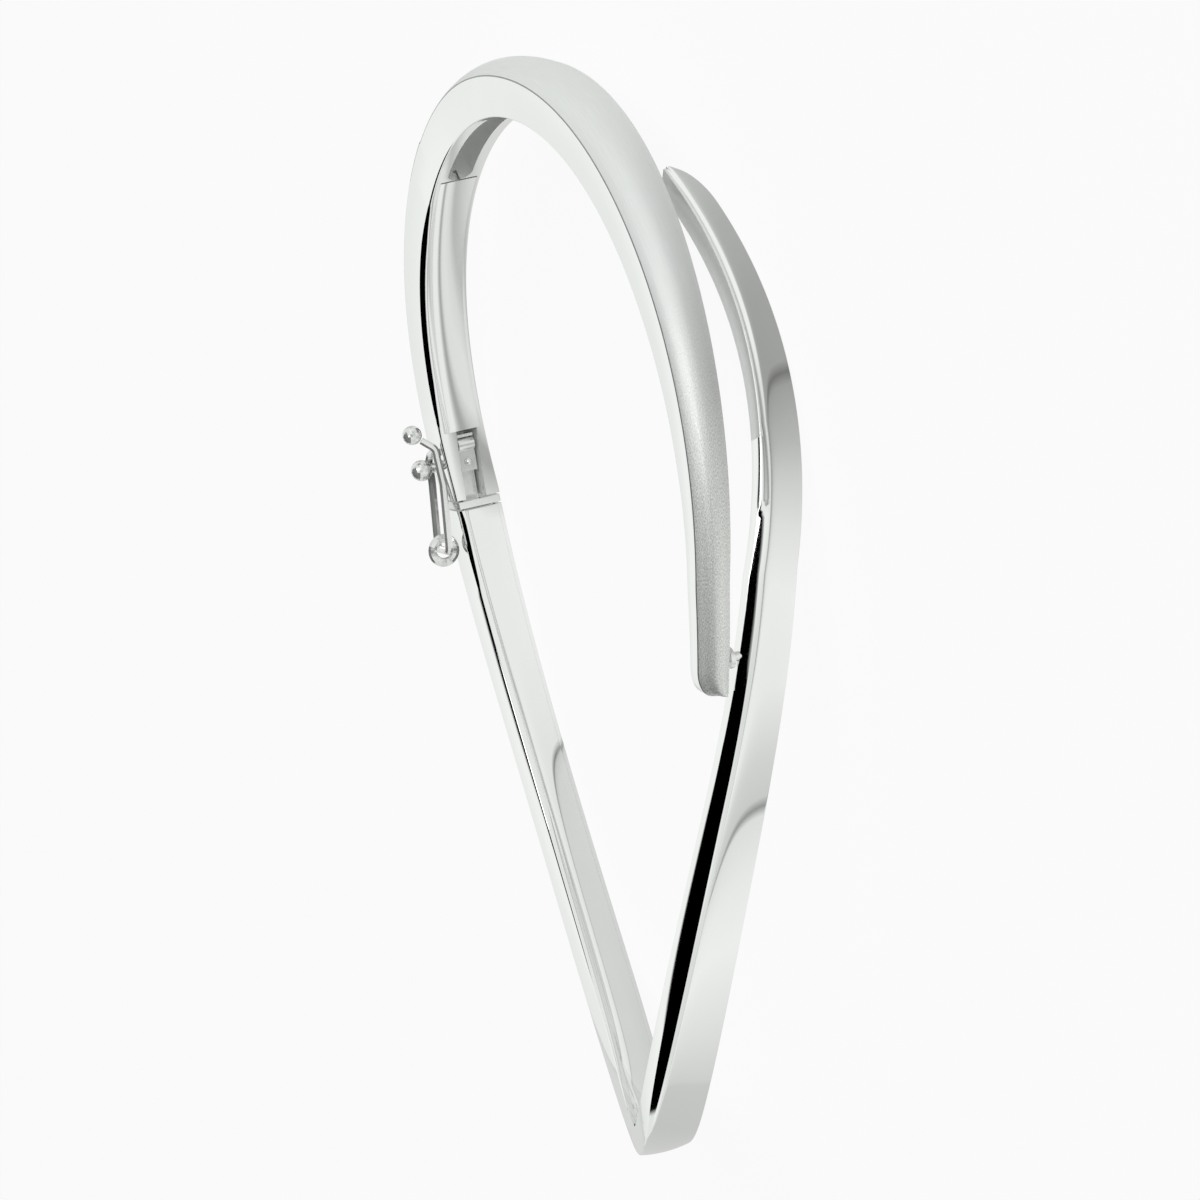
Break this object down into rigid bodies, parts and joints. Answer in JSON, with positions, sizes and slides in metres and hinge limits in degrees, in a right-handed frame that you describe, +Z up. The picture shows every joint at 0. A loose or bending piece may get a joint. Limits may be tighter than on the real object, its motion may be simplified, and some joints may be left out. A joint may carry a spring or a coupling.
{
  "type": "bangle bracelet",
  "caption": "Hinged oval crossover bangle with one polished and one satin arm, closed at the back by a box clasp with a spring tongue and a wire safety catch.",
  "frame": {"origin": "centre of the bounding box in plan, at the height of the surface that the bangle lies on", "axes": "+Z up, along the wrist and the hinge pin; +X towards the blunt end of the oval opening; +Y towards the clasp at the back"},
  "size_m": [0.0652, 0.0538, 0.0119],
  "materials": {
    "polished_silver": "mirror-polished sterling silver",
    "satin_silver": "satin-brushed sterling silver with polished edges"
  },
  "bodies": {
    "satin_half": {"satin_shell": "satin_silver", "satin_liner": "polished_silver", "hinge_pin": "polished_silver", "hinge_washer": "polished_silver", "catch_stud": "polished_silver"},
    "polished_half": {"polished_shell": "polished_silver", "polished_liner": "polished_silver", "clasp_tongue": "polished_silver", "catch_eyelet": "polished_silver"},
    "spring": {"clasp_spring": "polished_silver", "clasp_button": "polished_silver"},
    "catch": {"safety_catch": "polished_silver", "catch_ball": "polished_silver"}
  },
  "joints": [
    {"name": "bangle_hinge", "type": "hinge", "parent": "satin_half", "child": "polished_half", "pos_m": [0.00008, -0.02535, 0.00489], "axis": [0, 0, 1], "range_deg": [0, 36]},
    {"name": "spring_press", "type": "hinge", "parent": "polished_half", "child": "spring", "pos_m": [0.00713, 0.02439, 0.00205], "axis": [0, 0, -1], "range_deg": [0, 8], "stiffness_Nm_per_rad": 0.01},
    {"name": "catch_swing", "type": "hinge", "parent": "polished_half", "child": "catch", "pos_m": [0.00083, 0.02502, 0.00431], "axis": [0, -1, 0], "range_deg": [0, 150]}
  ]
}
